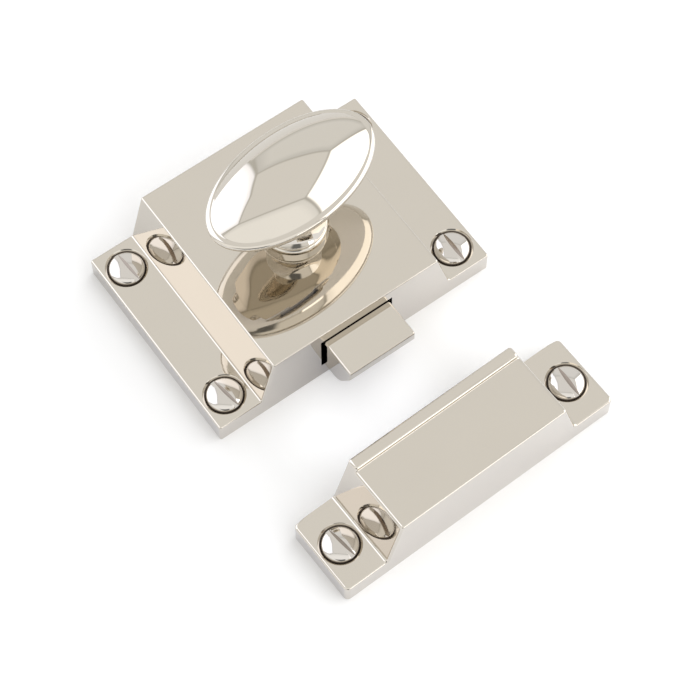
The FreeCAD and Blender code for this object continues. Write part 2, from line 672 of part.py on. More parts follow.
def cam_outline():
    """Half of the cam: an involute wing, its round tip, and the hub, as edges from the flat to the bottom."""
    pitch = size("bolt_travel") / math.radians(size("knob_turn"))
    rest = size("cam_rest")
    turn = math.radians(size("knob_turn"))
    tip = size("cam_tip_radius")
    hub = size("cam_hub_radius")

    def on_wing(angle):
        normal = FreeCAD.Vector(math.sin(angle), math.cos(angle), 0)
        beside = FreeCAD.Vector(math.cos(angle), -math.sin(angle), 0)
        return normal * (rest + pitch * angle) + beside * pitch

    steps = 8
    wing = Part.BSplineCurve()
    wing.interpolate(Points=[on_wing(turn * step / steps) for step in range(steps + 1)],
                     InitialTangent=FreeCAD.Vector(1, 0, 0),
                     FinalTangent=FreeCAD.Vector(math.cos(turn), -math.sin(turn), 0))
    last = on_wing(turn)
    out = FreeCAD.Vector(math.sin(turn), math.cos(turn), 0)
    centre = last - out * tip
    reach = centre.Length
    lean = math.atan2(centre.y, centre.x) - math.acos((hub - tip) / reach)
    below = FreeCAD.Vector(math.cos(lean), math.sin(lean), 0)
    between = (out + below).normalize()
    return [wing.toShape(),
            Part.Arc(last, centre + between * tip, centre + below * tip).toShape(),
            Part.makeLine(centre + below * tip, below * hub),
            Part.Arc(below * hub, FreeCAD.Vector(hub * math.cos((lean - math.pi / 2) / 2),
                                                 hub * math.sin((lean - math.pi / 2) / 2), 0),
                     FreeCAD.Vector(0, -hub, 0)).toShape()], on_wing(0)


def cam():
    """A two winged cam on the squared end. Its flat rests on the lug, and either wing draws the bolt."""
    half, corner = cam_outline()
    mirrored = [edge.mirror(FreeCAD.Vector(0, 0, 0), FreeCAD.Vector(1, 0, 0)) for edge in half]
    flat = Part.makeLine(FreeCAD.Vector(-corner.x, corner.y, 0), corner)
    wire = Part.Wire(Part.__sortEdges__(half + mirrored + [flat]))
    blank = Part.Face(wire).extrude(FreeCAD.Vector(0, 0, size("cam_thickness")))
    side = size("square_size + 2 * square_gap")
    hole = Part.makeBox(side, side, size("cam_thickness") * 3, FreeCAD.Vector(-side / 2, -side / 2,
                                                                             -size("cam_thickness")))
    hole.rotate(FreeCAD.Vector(0, 0, 0), FreeCAD.Vector(0, 0, 1), size("knob_rest_turn"))
    piece = doc.addObject("Part::Feature", "cam")
    piece.Label = "cam"
    piece.Shape = blank.cut(hole)
    stand_on_axis(piece)
    drive(piece, Placement__Base__z=CAM_BOTTOM)
    return piece


def washer(label, low, thickness, radius, bore):
    body = new_body(label)
    sketch = new_sketch(body, label + "_ring", "XY_Plane", low)
    circle(sketch, "0", "0", radius)
    circle(sketch, "0", "0", bore)
    pad(body, sketch, thickness)
    stand_on_axis(body)
    return body


def cam_screw():
    """A slotted pan head screw, up into the end of the spindle."""
    body = new_body("cam_screw")
    half = new_sketch(body, "cam_screw_half", "XZ_Plane")
    head_top = f"{CAM_BOTTOM} - cam_washer_thickness"
    head_low = f"{head_top} - cam_screw_head_height"
    polygon(half, [("0", head_low), ("0.72 * cam_screw_head_radius", head_low),
                   ("cam_screw_head_radius", f"{head_low} + 0.45 * cam_screw_head_height"),
                   ("cam_screw_head_radius", head_top), ("cam_screw_radius", head_top),
                   ("cam_screw_radius", f"{head_top} + cam_screw_length"),
                   ("0", f"{head_top} + cam_screw_length")])
    turned(body, half)
    slot = new_sketch(body, "cam_screw_slot", "XY_Plane", head_low)
    rectangle(slot, "back_screw_slot_width", "-cam_screw_head_radius", "cam_screw_head_radius")
    pocket(body, slot, "0.5 * cam_screw_head_height", back=True)
    stand_on_axis(body)
    return body


def wood_screw():
    """One fixing screw about its own axis, with its height counted from the back of the plate."""
    body = new_body("wood_screw")
    half = new_sketch(body, "wood_screw_half", "XZ_Plane")
    seat = "(flange_thickness - head_gap + seat_gap)"
    throat = f"({seat} - (head_radius - shank_radius))"
    edge = "(flange_thickness - head_edge_depth)"
    crest = "(flange_thickness + head_dome)"
    point = "(-shank_below - thread_length)"
    corners = [("0", crest), ("0", f"{point} - point_length"), ("thread_radius", point),
               ("thread_radius", "-shank_below"), ("shank_radius", "-shank_below"), ("shank_radius", throat),
               ("head_radius", seat), ("head_radius", edge)]
    polygon(half, corners)
    bow(half, corners, 7, "-0.2 * head_dome")
    turned(body, half)
    slot = new_sketch(body, "wood_screw_slot", "XY_Plane", crest)
    rectangle(slot, "head_slot_width / 2", "-2 * head_radius", "2 * head_radius")
    pocket(body, slot, "head_slot_depth")
    return body


def back_screw():
    """One small flat head screw for the back plate, its head flush with the back."""
    body = new_body("back_screw")
    half = new_sketch(body, "back_screw_half", "XZ_Plane")
    neck = "(seat_gap + back_screw_head_radius - back_screw_radius)"
    polygon(half, [("0", "seat_gap"), ("back_screw_head_radius", "seat_gap"), ("back_screw_radius", neck),
                   ("back_screw_radius", "back_screw_length"), ("0", "back_screw_length")])
    turned(body, half)
    slot = new_sketch(body, "back_screw_slot", "XY_Plane", "seat_gap")
    rectangle(slot, "back_screw_slot_width / 2", "-back_screw_head_radius", "back_screw_head_radius")
    pocket(body, slot, "back_screw_slot_depth", back=True)
    return body


def set_of(label, pattern, places):
    """Like fasteners, each a solid of its own, in one group."""
    links = []
    for number, (x, y) in enumerate(places, start=1):
        link = doc.addObject("App::Link", f"{label}_{number}")
        link.LinkedObject = pattern
        drive(link, Placement__Base__x=x, Placement__Base__y=y)
        links.append(link)
    group = doc.addObject("Part::Compound", label)
    group.Label = label
    group.Links = links
    doc.recompute()
    return group


def bolt_spring():
    """A coil spring between the rear wall of the case and the bolt's lug."""
    coil = doc.addObject("Part::Helix", "spring_coil")
    length = f"({INNER_FRONT} - {LUG_REAR} - 2 * spring_wire_radius)"
    drive(coil, Radius="spring_radius", Height=length, Pitch=f"{length} / spring_turns")
    wire = doc.addObject("Part::Circle", "spring_wire")
    drive(wire, Radius="spring_wire_radius", Placement__Base__x="spring_radius")
    wire.Placement.Rotation = FreeCAD.Rotation(FreeCAD.Vector(1, 0, 0), 90)
    sweep = doc.addObject("Part::Sweep", "bolt_spring")
    sweep.Label = "bolt_spring"
    sweep.Sections = [wire]
    sweep.Spine = (coil, [])
    sweep.Solid = True
    sweep.Frenet = True
    sweep.Placement.Rotation = FreeCAD.Rotation(FreeCAD.Vector(1, 0, 0), -90)
    drive(sweep, Placement__Base__y=f"{LUG_REAR} + spring_wire_radius", Placement__Base__z="spring_height")
    doc.recompute()
    return sweep


pieces = [
    latch_case(),
    spindle_bush(),
    knob(),
    cam(),
    washer("thrust_washer", f"{CEILING} - thrust_washer_thickness - end_play", "thrust_washer_thickness",
           "thrust_washer_radius", "spindle_radius + spindle_fit"),
    washer("cam_washer", f"{CAM_BOTTOM} - cam_washer_thickness", "cam_washer_thickness", "cam_washer_radius",
           "cam_screw_radius + tapped_gap"),
    cam_screw(),
    bolt(),
    bolt_spring(),
    back_plate(),
    set_of("back_plate_screws", back_screw(), BACK_SCREWS),
    keep(),
]
fixing = wood_screw()
pieces.append(set_of("latch_screws", fixing, CASE_SCREWS))
keep_screws = set_of("keep_screws", fixing, KEEP_SCREWS)
stand_keep(keep_screws)
pieces.append(keep_screws)
doc.recompute()

failed = [item.Name for item in doc.Objects if "Invalid" in item.State or "Error" in item.State]
if failed:
    raise RuntimeError(f"these objects failed: {failed}")
os.makedirs("parts", exist_ok=True)
for piece in pieces:
    if piece.Shape.isNull() or not piece.Shape.isValid():
        raise RuntimeError(f"{piece.Label} has no valid shape")
    piece.Shape.exportStep(f"parts/{piece.Label}.step")
    print(piece.Label, len(piece.Shape.Solids), "solids", round(piece.Shape.Volume, 2), "mm3",
          piece.Shape.BoundBox)
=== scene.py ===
"""A surface mounted cupboard latch and its keep in polished nickel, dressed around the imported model."""
import json
import math

import bmesh
import bpy
from mathutils import Matrix, Vector


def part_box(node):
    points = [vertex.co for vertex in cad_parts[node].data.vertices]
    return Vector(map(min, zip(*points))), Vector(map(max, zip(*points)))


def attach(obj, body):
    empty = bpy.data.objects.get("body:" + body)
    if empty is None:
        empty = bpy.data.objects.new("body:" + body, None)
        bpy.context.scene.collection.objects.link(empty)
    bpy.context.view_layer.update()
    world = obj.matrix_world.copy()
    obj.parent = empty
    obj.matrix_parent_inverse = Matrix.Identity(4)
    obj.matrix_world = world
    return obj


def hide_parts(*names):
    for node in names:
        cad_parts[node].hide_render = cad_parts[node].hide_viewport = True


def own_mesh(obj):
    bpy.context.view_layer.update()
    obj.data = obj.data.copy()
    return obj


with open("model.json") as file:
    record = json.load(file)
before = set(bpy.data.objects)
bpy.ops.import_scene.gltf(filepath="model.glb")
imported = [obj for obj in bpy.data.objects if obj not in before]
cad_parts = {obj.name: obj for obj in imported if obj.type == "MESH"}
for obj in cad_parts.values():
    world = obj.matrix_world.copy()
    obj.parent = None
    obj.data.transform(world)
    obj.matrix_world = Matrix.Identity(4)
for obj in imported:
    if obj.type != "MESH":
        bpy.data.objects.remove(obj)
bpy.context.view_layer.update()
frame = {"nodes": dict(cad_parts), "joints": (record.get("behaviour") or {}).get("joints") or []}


# The camera stands above the latch's near left corner, as in the photograph. Its place was fitted to the
# corners and creases of the latch and the keep.
CAMERA_TURN, CAMERA_TILT, CAMERA_ROLL = math.radians(-35.98), math.radians(63.97), math.radians(0.11)
CAMERA_DISTANCE = 0.4067
CAMERA_TARGET = Vector((-0.00212, -0.02027, 0.005))
LENS, SENSOR_WIDTH, CLIP_START = 126.87, 36, 0.01

towards_camera = Vector((math.sin(CAMERA_TURN) * math.cos(CAMERA_TILT),
                         -math.cos(CAMERA_TURN) * math.cos(CAMERA_TILT), math.sin(CAMERA_TILT)))
right = Vector((0, 0, 1)).cross(towards_camera).normalized()
right.rotate(Matrix.Rotation(CAMERA_ROLL, 3, towards_camera))
up = towards_camera.cross(right)
camera = bpy.data.objects.new("camera", bpy.data.cameras.new("camera"))
camera.data.lens = LENS
camera.data.sensor_width = SENSOR_WIDTH
camera.data.clip_start = CLIP_START
camera.matrix_world = Matrix((right, up, towards_camera)).transposed().to_4x4()
camera.matrix_world.translation = CAMERA_TARGET + towards_camera * CAMERA_DISTANCE
bpy.context.collection.objects.link(camera)
bpy.context.scene.camera = camera
bpy.context.scene.view_settings.view_transform = "Standard"


# The light is a photographer's tent of pale grey cloth, with brighter cloths that the metal mirrors and a
# dark opening low on the near left. The table is lit by a smooth key light from the right, so the near
# shadows fall to the left.
GREY_CLOTH = (0.97, 0.97, 0.97, 1)
SEAM = (0.66, 0.66, 0.64, 1)
DARK_ROOM = (0.2, 0.205, 0.21, 1)

# Each cloth has its corners as seen from the latch, as (degrees from straight up, degrees from +X to +Y),
# its brightness, and the share of it that is left in a border along the seam.
CLOTHS = {
    "back": ([(52, 89), (36, 50), (40.7, 10.6), (85, 16), (85, 50), (85, 84)], (0.96, 0.97, 0.98), 0.86),
    "front": ([(27, 177), (40, -62), (85, -66), (85, -130), (85, 160)], (1.2, 1.21, 1.22), 0.86),
    "left": ([(100, 84), (52, 89), (28, 110), (27, 177), (46, 164), (100, 150)], (1.95, 2.0, 2.2), 0.74),
    "right": ([(40.7, 10.6), (78, 14.7), (100, 16), (100, -68), (72, -66), (40, -61)], (2.3, 2.3, 2.35),
              0.85),
    "low strip": ([(77, -67), (77, -84), (100, -84), (100, -67)], (3.0, 3.0, 3.1), 1.0),
}
OPENING = [(59, 205), (56, 230), (61, 258), (100, 256), (100, 244)]
SEAM_WIDTH, SEAM_SOFTNESS, BORDER_WIDTH, OPENING_SOFTNESS = 1.6, 1.0, 8.0, 4.0
KEY_SIDE, KEY_LEVEL, ROUND_LEVEL = (58, -24), 2.08, 0.56
WHITE_BACKDROP = (1, 1, 1, 1)
MIX_BELOW, MIX_ABOVE, MIX_RESULT = 6, 7, 2


def node(tree, kind, settings=None, *ordered, **named):
    """A shader node with its settings, its inputs in order, and its inputs by name."""
    made = tree.nodes.new("ShaderNode" + kind)
    for name, value in (settings or {}).items():
        setattr(made, name, value)
    inputs = list(zip(made.inputs, ordered))
    inputs += [(made.inputs[name.replace("_", " ")], value) for name, value in named.items()]
    for socket, value in inputs:
        if isinstance(value, bpy.types.NodeSocket):
            tree.links.new(value, socket)
        else:
            socket.default_value = value
    return made


def mixed(tree, mask, below, above):
    """The colour above where the mask is 1 and the colour below where it is 0."""
    mix = node(tree, "Mix", {"data_type": "RGBA"}, mask)
    for index, colour in ((MIX_BELOW, below), (MIX_ABOVE, above)):
        if isinstance(colour, bpy.types.NodeSocket):
            tree.links.new(colour, mix.inputs[index])
        else:
            mix.inputs[index].default_value = colour
    return mix.outputs[MIX_RESULT]


def towards(tilt, turn):
    """The direction at some degrees from straight up and some degrees from +X to +Y."""
    tilt, turn = math.radians(tilt), math.radians(turn)
    return Vector((math.sin(tilt) * math.cos(turn), math.sin(tilt) * math.sin(turn), math.cos(tilt)))


def cloth_mask(tree, direction, corners, grow, softness):
    """A mask that is 1 on a cloth of the tent, grown by some degrees, and fades out over its edges."""
    middle = sum((towards(*corner) for corner in corners), Vector()).normalized()
    edge_from, edge_to = math.radians(-grow - softness), math.radians(-grow + softness)
    mask = None
    for here, there in zip(corners, corners[1:] + corners[:1]):
        inwards = towards(*here).cross(towards(*there)).normalized()
        if inwards.dot(middle) < 0:
            inwards.negate()
        side = node(tree, "VectorMath", {"operation": "DOT_PRODUCT"}, direction, inwards)
        fade = node(tree, "MapRange", {"interpolation_type": "SMOOTHSTEP"}, side.outputs["Value"],
                    From_Min=edge_from, From_Max=edge_to).outputs["Result"]
        if mask is None:
            mask = fade
        else:
            mask = node(tree, "Math", {"operation": "MULTIPLY"}, mask, fade).outputs["Value"]
    return mask


world = bpy.data.worlds.new("light_tent")
bpy.context.scene.world = world
world.use_nodes = True
tent = world.node_tree
direction = node(tent, "TexCoord").outputs["Generated"]
colour = GREY_CLOTH
for corners, cloth, border_share in CLOTHS.values():
    border = tuple(level * border_share for level in cloth)
    for layer, grow, softness in ((SEAM, SEAM_WIDTH / 2, SEAM_SOFTNESS),
                                  ((*border, 1), -SEAM_WIDTH / 2, SEAM_SOFTNESS),
                                  ((*cloth, 1), -BORDER_WIDTH / 2, BORDER_WIDTH / 2)):
        colour = mixed(tent, cloth_mask(tent, direction, corners, grow, softness), colour, layer)
colour = mixed(tent, cloth_mask(tent, direction, OPENING, 0, OPENING_SOFTNESS), colour, DARK_ROOM)
facing = node(tent, "VectorMath", {"operation": "DOT_PRODUCT"}, direction, towards(*KEY_SIDE))
key = node(tent, "MapRange", {"interpolation_type": "SMOOTHSTEP"}, facing.outputs["Value"],
           To_Min=ROUND_LEVEL, To_Max=KEY_LEVEL)
seen_by = node(tent, "LightPath").outputs
lighting = mixed(tent, seen_by["Is Glossy Ray"], key.outputs["Result"], colour)
backdrop = mixed(tent, seen_by["Is Camera Ray"], lighting, WHITE_BACKDROP)
tent.links.new(backdrop, tent.nodes["Background"].inputs["Color"])


# The latch lies on a white table, which is a plain sheet and not part of it. In the metal its front half
# shows a little bluer than it looks, by a faint painted glow, and its back half a little greyer. A pool of
# light is painted on it as a glow in front of the case, for the light that the case's polished front throws.
TABLE_SIZE, TABLE_ROUGHNESS = 3.0, 0.8
TABLE_WHITE = (0.9, 0.9, 0.9, 1)
TABLE_SEEN = (0.96, 0.96, 0.96, 1)
TABLE_BACK = (0.83, 0.84, 0.86, 1)
TABLE_GLOSS = (0.04, 0.06, 0.12, 1)
BACK_FROM, FRONT_FROM = 0.04, -0.01
PAINTED_THROWN_LIGHT = (0.235, 0.24, 0.255, 1)
THROWN_AT, THROWN_CORE, THROWN_REACH = (-0.0055, -0.0275, 0), 0.005, 0.0185

sheet_mesh = bmesh.new()
bmesh.ops.create_grid(sheet_mesh, x_segments=1, y_segments=1, size=TABLE_SIZE)
table = bpy.data.objects.new("table", bpy.data.meshes.new("table"))
sheet_mesh.to_mesh(table.data)
sheet_mesh.free()
bpy.context.collection.objects.link(table)

paper = bpy.data.materials.new("table_paper")
paper.use_nodes = True
sheet = paper.node_tree
paint = sheet.nodes["Principled BSDF"].inputs
paint["Roughness"].default_value = TABLE_ROUGHNESS
paint["Specular IOR Level"].default_value = 0
seen_by = node(sheet, "LightPath").outputs
on_table = node(sheet, "TexCoord").outputs["Object"]
along = node(sheet, "SeparateXYZ", None, on_table).outputs["Y"]
front = node(sheet, "MapRange", {"interpolation_type": "SMOOTHSTEP"}, along, From_Min=BACK_FROM,
             From_Max=FRONT_FROM).outputs["Result"]
mirrored_front = node(sheet, "Math", {"operation": "MULTIPLY"}, seen_by["Is Glossy Ray"], front)
mirrored_back = node(sheet, "Math", {"operation": "SUBTRACT"}, seen_by["Is Glossy Ray"], front)
white = mixed(sheet, seen_by["Is Camera Ray"], TABLE_WHITE, TABLE_SEEN)
sheet.links.new(mixed(sheet, mirrored_back.outputs["Value"], white, TABLE_BACK), paint["Base Color"])

# The camera sees a pool of light painted on the table in front of the case, as a glow from above only.
away = node(sheet, "VectorMath", {"operation": "DISTANCE"}, on_table, THROWN_AT)
painted_light_spot = node(sheet, "MapRange", {"interpolation_type": "SMOOTHSTEP"}, away.outputs["Value"],
              From_Min=THROWN_REACH, From_Max=THROWN_CORE)
from_under = node(sheet, "NewGeometry").outputs["Backfacing"]
from_over = node(sheet, "Math", {"operation": "SUBTRACT", "use_clamp": True}, seen_by["Is Camera Ray"],
                 from_under)
glow = node(sheet, "Math", {"operation": "MULTIPLY_ADD"}, from_over.outputs["Value"],
            painted_light_spot.outputs["Result"], mirrored_front.outputs["Value"])
glow_colour = mixed(sheet, seen_by["Is Camera Ray"], TABLE_GLOSS, PAINTED_THROWN_LIGHT)
sheet.links.new(glow_colour, paint["Emission Color"])
sheet.links.new(glow.outputs["Value"], paint["Emission Strength"])
table.data.materials.append(paper)


# The latch's case is one brass casting, ground flat, buffed on a wheel and nickel plated. The wheel leaves
# long shallow waves in the flats and softens the edges, and handling leaves a faint film. The countersinks
# for its four screws are left rough, and their colour is painted dark as painted shade round the screw heads.
MM = 0.001
CASTING_NICKEL = (0.66, 0.61, 0.53, 1)
CASE_SCREW_X, CASE_SCREW_Y = 23.3, 14.45
SINK_RADIUS, SINK_MARGIN, SINK_LIP = 3.65, 0.01, 3.93
SINK_SHADE, SINK_ROUGHNESS = (0.12, 0.1, 0.085, 1), 0.3
HAIRLINE_SIZE, HAIRLINE_STRETCH = 0.2, (1, 0.04, 1)
HAIRLINE_FROM, HAIRLINE_TO, HAIRLINE_DEPTH = 0.62, 0.75, 0.00002
FILM_FROM, FILM_TO, FILM_SIZE, FILM_ROUGHNESS = 0.4, 0.75, 4.0, 0.03
TARNISH_SIZE, TARNISH_SHARE = 11, 0.97
nodes = frame["nodes"]


def buffing_group():
    """Waves left by the buffing wheel, hairlines left by cloths, and a film of handling, sized in metres."""
    group = bpy.data.node_groups.new("buffing", "ShaderNodeTree")
    for name in ("Wave Size", "Wave Depth", "Hairline Depth", "Film Size"):
        group.interface.new_socket(name, in_out="INPUT", socket_type="NodeSocketFloat")
    for name, kind in (("Film", "Float"), ("Tarnish", "Float"), ("Normal", "Vector")):
        group.interface.new_socket(name, in_out="OUTPUT", socket_type="NodeSocket" + kind)
    given = group.nodes.new("NodeGroupInput").outputs
    out = group.nodes.new("NodeGroupOutput").inputs
    place = node(group, "TexCoord").outputs["Object"]

    def scaled(size, stretch=(1, 1, 1)):
        count = node(group, "Math", {"operation": "DIVIDE"}, 1.0, size).outputs["Value"]
        moved = node(group, "VectorMath", {"operation": "MULTIPLY"}, place, stretch).outputs["Vector"]
        return node(group, "VectorMath", {"operation": "SCALE"}, moved, Scale=count).outputs["Vector"]

    waves = node(group, "TexNoise", None, Vector=scaled(given["Wave Size"]), Scale=1.0, Detail=1.0,
                 Roughness=0.4)
    swell = node(group, "Bump", None, Strength=1.0, Distance=given["Wave Depth"], Height=waves.outputs["Fac"])
    lines = node(group, "TexNoise", None, Vector=scaled(HAIRLINE_SIZE * MM, HAIRLINE_STRETCH), Scale=1.0,
                 Detail=3.0)
    scratches = node(group, "MapRange", None, lines.outputs["Fac"], From_Min=HAIRLINE_FROM,
                     From_Max=HAIRLINE_TO)
    fine = node(group, "Bump", None, Strength=1.0, Distance=given["Hairline Depth"],
                Height=scratches.outputs["Result"], Normal=swell.outputs["Normal"])
    film = node(group, "TexNoise", None, Vector=scaled(given["Film Size"]), Scale=1.0, Detail=4.0,
                Roughness=0.6, Distortion=0.8)
    spread = node(group, "MapRange", {"interpolation_type": "SMOOTHSTEP"}, film.outputs["Fac"],
                  From_Min=FILM_FROM, From_Max=FILM_TO)
    tarnish = node(group, "TexNoise", None, Vector=scaled(TARNISH_SIZE * MM), Scale=1.0, Detail=2.0)
    group.links.new(spread.outputs["Result"], out["Film"])
    group.links.new(tarnish.outputs["Fac"], out["Tarnish"])
    group.links.new(fine.outputs["Normal"], out["Normal"])
    return group


buffing = buffing_group()


def polished(name, base, roughness, wave_size, wave_depth):
    """Buffed metal. Its waves are given in millimetres, as their length and their depth."""
    material = bpy.data.materials.new(name)
    material.use_nodes = True
    tree = material.node_tree
    shader = tree.nodes["Principled BSDF"]
    shader.inputs["Metallic"].default_value = 1
    buffed = tree.nodes.new("ShaderNodeGroup")
    buffed.node_tree = buffing
    for socket, value in (("Wave Size", wave_size), ("Wave Depth", wave_depth),
                          ("Hairline Depth", HAIRLINE_DEPTH), ("Film Size", FILM_SIZE)):
        buffed.inputs[socket].default_value = value * MM
    worn = (*(level * TARNISH_SHARE for level in base[:3]), 1)
    tree.links.new(mixed(tree, buffed.outputs["Tarnish"], base, worn), shader.inputs["Base Color"])
    rough = node(tree, "MapRange", None, buffed.outputs["Film"], To_Min=roughness,
                 To_Max=roughness + FILM_ROUGHNESS)
    tree.links.new(rough.outputs["Result"], shader.inputs["Roughness"])
    tree.links.new(buffed.outputs["Normal"], shader.inputs["Normal"])
    return material


def shaded_countersinks(material, place, angle, x, y):
    """Leaves a casting's countersinks rough and paints them dark, as painted shade round the screw heads.
    They lie at plus and minus x and y about a place.
    """
    tree = material.node_tree
    shader = tree.nodes["Principled BSDF"]
    spot = node(tree, "TexCoord").outputs["Object"]
    moved = node(tree, "VectorMath", {"operation": "SUBTRACT"}, spot, Vector(place) * MM)
    turned = node(tree, "VectorRotate", {"rotation_type": "Z_AXIS"}, moved.outputs["Vector"],
                  Angle=-math.radians(angle))
    folded = node(tree, "VectorMath", {"operation": "ABSOLUTE"}, turned.outputs["Vector"])
    level = node(tree, "VectorMath", {"operation": "MULTIPLY"}, folded.outputs["Vector"], (1, 1, 0))
    away = node(tree, "VectorMath", {"operation": "DISTANCE"}, level.outputs["Vector"], (x * MM, y * MM, 0))
    within = node(tree, "Math", {"operation": "LESS_THAN"}, away.outputs["Value"],
                  (SINK_RADIUS + SINK_MARGIN) * MM)
    height = node(tree, "SeparateXYZ", None, spot).outputs["Z"]
    below = node(tree, "Math", {"operation": "LESS_THAN"}, height, SINK_LIP * MM)
    # The countersinks' colour is painted dark here, as painted shade round the screw heads.
    sink_shade = node(tree, "Math", {"operation": "MULTIPLY"}, within.outputs["Value"], below.outputs["Value"])
    plate = shader.inputs["Base Color"].links[0].from_socket
    tree.links.new(mixed(tree, sink_shade.outputs["Value"], plate, SINK_SHADE), shader.inputs["Base Color"])
    rough = node(tree, "Math", {"operation": "MULTIPLY_ADD"}, sink_shade.outputs["Value"], SINK_ROUGHNESS,
                 shader.inputs["Roughness"].links[0].from_socket)
    tree.links.new(rough.outputs["Value"], shader.inputs["Roughness"])
    return material


def dress(name, material):
    """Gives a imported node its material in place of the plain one."""
    nodes[name].data.materials.clear()
    nodes[name].data.materials.append(material)


casting = polished("nickel_casting", CASTING_NICKEL, 0.03, 9.0, 0.003)
dress("latch_case", shaded_countersinks(casting, (0, 0, 0), 0, CASE_SCREW_X, CASE_SCREW_Y))


# The bush is turned from brass bar, with a stepped flange that stands on the case. It is nickel plated and
# pressed into the case as the knob's bearing.
dress("spindle_bush", polished("nickel_bush", CASTING_NICKEL, 0.05, 5.0, 0.001))


# The knob is cast in one with its neck and spindle: a domed oval with a rolled rim, a flared underside and a
# waisted neck over a round foot. The spindle turns in the bush and ends in a square, tapped for the cam's
# screw.
KNOB_AXIS = Vector(next(joint["pos_m"] for joint in frame["joints"] if joint["name"] == "knob_turn"))
KNOB_TURN = 7.0
KNOB_END, KNOB_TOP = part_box("knob")[0].z / MM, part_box("knob")[1].z / MM
RIM_LONG, RIM_WIDE, RIM_MIDDLE = 16.3, 9.1, 29.8
RIM_UNDER, UNDER_ROUND = 29.15, 0.25
BEAD_HALF, BEAD_WIDTH, BEAD_FROM, BEAD_POWER = 0.65, 1.0, 68, 0.8
NECK_TOP, NECK_RADIUS, WAIST = 24.2, 4.7, 1.1
FOOT_LOW, FOOT_HIGH, FOOT_RADIUS, FOOT_ROUND = 16.2, 16.7, 5.7, 0.15
SPINDLE_RADIUS, SPINDLE_END = 3.5, 11.4
SQUARE_HALF, SQUARE_ROUND, SQUARE_CHAMFER = 2.4, 0.12, 0.15
TAP_RADIUS, TAP_TOP, TAP_CHAMFER = 1.55, 16.05, 0.2
ROUND_STEPS, FOOT_STEPS, NECK_STEPS, FLARE_STEPS = 192, 6, 32, 40
UNDER_STEPS, BEAD_STEPS, DOME_STEPS = 8, 21, 48
TURNED_SHARP = 32

# The underside's spread towards the rim, as a share, at shares of the way down from the rim to the neck.
FLARE = [(0.0, 1.0), (0.2, 0.955), (0.5, 0.80), (0.8, 0.45), (1.0, 0.0)]


def shaded(mesh, sharp_angle):
    """Smooth shading, but for the edges over an angle in degrees."""
    for face in mesh.faces:
        face.smooth = True
    for edge in mesh.edges:
        edge.smooth = len(edge.link_faces) == 2 and edge.calc_face_angle() < math.radians(sharp_angle)


def finished(name, mesh, sharp_angle):
    """An object from a bmesh in millimetres."""
    shaded(mesh, sharp_angle)
    bmesh.ops.scale(mesh, vec=(MM, MM, MM), verts=mesh.verts)
    made = bpy.data.objects.new(name, bpy.data.meshes.new(name))
    mesh.to_mesh(made.data)
    mesh.free()
    bpy.context.collection.objects.link(made)
    return made


def skinned(name, rings):
    """A closed piece over rings of points, all with the same count, with its two ends closed to points."""
    mesh = bmesh.new()
    made = [[mesh.verts.new(point) for point in ring] for ring in rings]
    for low, high in zip(made, made[1:]):
        for index in range(len(low)):
            after = (index + 1) % len(low)
            mesh.faces.new((low[index], low[after], high[after], high[index]))
    for ring, flip in ((made[0], True), (made[-1], False)):
        tip = mesh.verts.new(sum((vert.co for vert in ring), Vector()) / len(ring))
        for pair in zip(ring, ring[1:] + ring[:1]):
            mesh.faces.new((tip, *(reversed(pair) if flip else pair)))
    bmesh.ops.recalc_face_normals(mesh, faces=mesh.faces)
    return finished(name, mesh, TURNED_SHARP)


def about_knob(reach, height):
    """A ring about the knob's axis, turned as the knob stands at rest. Reach gives x and y at an angle."""
    turn = Matrix.Rotation(math.radians(KNOB_TURN), 3, "Z")
    centre = Vector((KNOB_AXIS.x / MM, 0, height))
    angles = [math.tau * index / ROUND_STEPS for index in range(ROUND_STEPS)]
    return [centre + turn @ Vector((*reach(angle), 0)) for angle in angles]


def oval(half_long, half_wide, height):
    """An oval ring of the knob."""
    return about_knob(lambda angle: (half_long * math.cos(angle), half_wide * math.sin(angle)), height)


def squared(half, height):
    """A ring of the spindle's square end, with its corners just taken off."""
    def reach(angle):
        side = half / max(abs(math.cos(angle)), abs(math.sin(angle)))
        radius = min(side, half * math.sqrt(2) - SQUARE_ROUND)
        return radius * math.cos(angle), radius * math.sin(angle)

    return about_knob(reach, height)


def through(stages, position):
    """The value at a position on a smooth curve through stages of (position, value)."""
    for index, ((low, at_low), (high, at_high)) in enumerate(zip(stages, stages[1:])):
        if position <= high:
            break
    before = stages[max(index - 1, 0)]
    after = stages[min(index + 2, len(stages) - 1)]
    slope_low = (at_high - before[1]) / (high - before[0])
    slope_high = (after[1] - at_low) / (after[0] - low)
    share, span = (position - low) / (high - low), high - low
    return ((2 * share ** 3 - 3 * share ** 2 + 1) * at_low
            + (share ** 3 - 2 * share ** 2 + share) * span * slope_low
            + (3 * share ** 2 - 2 * share ** 3) * at_high
            + (share ** 3 - share ** 2) * span * slope_high)


def spindle_rings():
    """The rings from inside the tapped hole, round the square end and up the spindle to the foot."""
    hole = [(TAP_RADIUS, TAP_TOP), (TAP_RADIUS, KNOB_END + TAP_CHAMFER), (TAP_RADIUS + TAP_CHAMFER, KNOB_END)]
    square = [(SQUARE_HALF - SQUARE_CHAMFER, KNOB_END), (SQUARE_HALF, KNOB_END + SQUARE_CHAMFER),
              (SQUARE_HALF, SPINDLE_END)]
    shaft = [(SPINDLE_RADIUS, SPINDLE_END), (SPINDLE_RADIUS, FOOT_LOW)]
    return ([oval(radius, radius, height) for radius, height in hole]
            + [squared(half, height) for half, height in square]
            + [oval(radius, radius, height) for radius, height in shaft])


